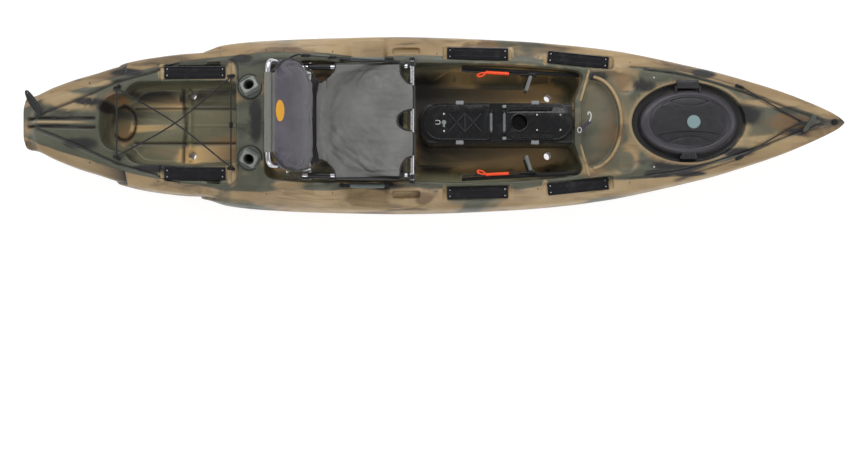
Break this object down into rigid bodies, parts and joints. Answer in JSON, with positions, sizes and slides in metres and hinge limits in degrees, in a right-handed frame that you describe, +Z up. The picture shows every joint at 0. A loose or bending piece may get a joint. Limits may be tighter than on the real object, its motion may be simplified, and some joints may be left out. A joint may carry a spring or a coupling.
{
  "type": "sit-on-top fishing kayak",
  "caption": "Sit-on-top fishing kayak: moulded hollow hull with wells, folding framed seat, centre console, bow hatch, sliding foot braces, rod holders and carry handles.",
  "frame": {"origin": "under the middle of the hull, level with the lowest line of the keel", "axes": "+X towards the bow, +Y to port, +Z up"},
  "size_m": [3.886, 0.8658, 0.7677],
  "materials": {
    "hull": "rotomoulded polyethylene in a brown and green camouflage",
    "plastic": "moulded black plastic with a fine grain",
    "lid": "soft black plastic",
    "rubber": "black rubber",
    "clip": "grey moulded plastic",
    "cap": "pale grey-blue moulded plastic",
    "orange": "orange moulded plastic",
    "tube": "satin anodised tube",
    "steel": "stainless steel",
    "fabric": "purple-grey woven polyester",
    "webbing": "black woven webbing",
    "cord": "elastic cord with a woven cover"
  },
  "bodies": {
    "hull": {"hull": "hull", "skid_plate": "plastic", "bow_cord": "cord", "hatch_rim": "plastic", "hatch_gasket": "rubber", "hatch_hinge_pin": "steel", "well_bungee": "cord", "cord_lock": "plastic", "console_pod": "plastic", "console_hinge_pin_rear": "steel", "console_hinge_pin_front": "steel", "seat_base_tube": "tube", "seat_pivot_rod": "steel", "seat_front_leg": "tube", "seat_sling": "fabric", "keeper_strap": "webbing", "bow_eye_port": "plastic", "well_eye_rear_port": "plastic", "well_eye_front_port": "plastic", "rod_holder_port": "plastic", "brace_rail_port": "plastic", "seat_bracket_port": "plastic", "seat_strap_port": "webbing", "gear_plate_rear_port": "plastic", "gear_plate_middle_port": "plastic", "gear_plate_front_port": "plastic", "bow_eye_starboard": "plastic", "well_eye_rear_starboard": "plastic", "well_eye_front_starboard": "plastic", "rod_holder_starboard": "plastic", "brace_rail_starboard": "plastic", "seat_bracket_starboard": "plastic", "seat_strap_starboard": "webbing", "gear_plate_rear_starboard": "plastic", "gear_plate_middle_starboard": "plastic", "gear_plate_front_starboard": "plastic"},
    "hatch_lid": {"hatch_lid": "lid", "hatch_lid_cap": "cap"},
    "hatch_latch": {"hatch_latch": "plastic"},
    "console_lid_rear": {"console_lid_rear": "plastic"},
    "console_latch": {"console_latch": "clip"},
    "console_lid_front": {"console_lid_front": "plastic", "console_cover_plate": "plastic", "console_rail_port": "plastic", "console_rail_starboard": "plastic"},
    "seat_back": {"seat_back_tube": "tube", "seat_back_pad": "fabric"},
    "bow_toggle": {"bow_toggle": "plastic"},
    "stern_handle": {"stern_handle": "webbing"},
    "drain_plug": {"drain_plug": "rubber"},
    "brace_pedal_port": {"brace_pedal_port": "plastic"},
    "brace_grip_port": {"brace_grip_port": "orange"},
    "side_handle_port": {"side_handle_port": "webbing"},
    "console_clip_rear_port": {"console_clip_rear_port": "clip"},
    "console_clip_front_port": {"console_clip_front_port": "clip"},
    "brace_pedal_starboard": {"brace_pedal_starboard": "plastic"},
    "brace_grip_starboard": {"brace_grip_starboard": "orange"},
    "side_handle_starboard": {"side_handle_starboard": "webbing"},
    "console_clip_rear_starboard": {"console_clip_rear_starboard": "clip"},
    "console_clip_front_starboard": {"console_clip_front_starboard": "clip"}
  },
  "joints": [
    {"name": "hatch_lid_hinge", "type": "hinge", "parent": "hull", "child": "hatch_lid", "pos_m": [1.205, -0.165, 0.346], "axis": [1, 0, 0], "range_deg": [0, 110]},
    {"name": "hatch_latch_flip", "type": "hinge", "parent": "hatch_lid", "child": "hatch_latch", "pos_m": [1.197, 0.162, 0.357], "axis": [1, 0, 0], "range_deg": [0, 80]},
    {"name": "console_rear_lid_hinge", "type": "hinge", "parent": "hull", "child": "console_lid_rear", "pos_m": [0.276, 0, 0.34], "axis": [0, 1, 0], "range_deg": [0, 85]},
    {"name": "console_latch_turn", "type": "hinge", "parent": "console_lid_rear", "child": "console_latch", "pos_m": [0.054, 0, 0.3424], "axis": [0, 0, 1], "range_deg": [0, 90]},
    {"name": "console_front_lid_hinge", "type": "hinge", "parent": "hull", "child": "console_lid_front", "pos_m": [0.338, 0, 0.34], "axis": [0, -1, 0], "range_deg": [0, 85]},
    {"name": "seat_back_fold", "type": "hinge", "parent": "hull", "child": "seat_back", "pos_m": [-0.57, 0, 0.39], "axis": [0, 1, 0], "range_deg": [0, 60]},
    {"name": "bow_toggle_lift", "type": "hinge", "parent": "hull", "child": "bow_toggle", "pos_m": [1.705, -0.009, 0.389], "axis": [0, -1, 0], "range_deg": [0, 80]},
    {"name": "stern_handle_lift", "type": "hinge", "parent": "hull", "child": "stern_handle", "pos_m": [-1.851, 0.041, 0.374], "axis": [0.8486, 0.5291, 0], "range_deg": [0, 75]},
    {"name": "drain_plug_turn", "type": "hinge", "parent": "hull", "child": "drain_plug", "pos_m": [1.888, 0, 0.358], "axis": [0, 0, 1], "continuous": true},
    {"name": "brace_slide_port", "type": "slide", "parent": "hull", "child": "brace_pedal_port", "axis": [0.9984, -0.0569, 0], "range_m": [-0.15, 0.12]},
    {"name": "brace_grip_twist_port", "type": "hinge", "parent": "brace_pedal_port", "child": "brace_grip_port", "pos_m": [0.46, 0.2317, 0.288], "axis": [-0.9984, 0.0569, 0], "range_deg": [0, 80]},
    {"name": "side_handle_swing_port", "type": "hinge", "parent": "hull", "child": "side_handle_port", "pos_m": [-0.308, 0.297, 0.338], "axis": [1, 0, 0], "range_deg": [-15, 60]},
    {"name": "console_clip_rear_flip_port", "type": "hinge", "parent": "hull", "child": "console_clip_rear_port", "pos_m": [0.128, 0.097, 0.308], "axis": [-1, 0, 0], "range_deg": [0, 70]},
    {"name": "console_clip_front_flip_port", "type": "hinge", "parent": "hull", "child": "console_clip_front_port", "pos_m": [0.483, 0.097, 0.308], "axis": [-1, 0, 0], "range_deg": [0, 70]},
    {"name": "brace_slide_starboard", "type": "slide", "parent": "hull", "child": "brace_pedal_starboard", "axis": [0.9984, 0.0569, 0], "range_m": [-0.15, 0.12]},
    {"name": "brace_grip_twist_starboard", "type": "hinge", "parent": "brace_pedal_starboard", "child": "brace_grip_starboard", "pos_m": [0.46, -0.2317, 0.288], "axis": [0.9984, 0.0569, 0], "range_deg": [0, 80]},
    {"name": "side_handle_swing_starboard", "type": "hinge", "parent": "hull", "child": "side_handle_starboard", "pos_m": [-0.308, -0.297, 0.338], "axis": [-1, 0, 0], "range_deg": [-15, 60]},
    {"name": "console_clip_rear_flip_starboard", "type": "hinge", "parent": "hull", "child": "console_clip_rear_starboard", "pos_m": [0.128, -0.097, 0.308], "axis": [1, 0, 0], "range_deg": [0, 70]},
    {"name": "console_clip_front_flip_starboard", "type": "hinge", "parent": "hull", "child": "console_clip_front_starboard", "pos_m": [0.483, -0.097, 0.308], "axis": [1, 0, 0], "range_deg": [0, 70]}
  ]
}
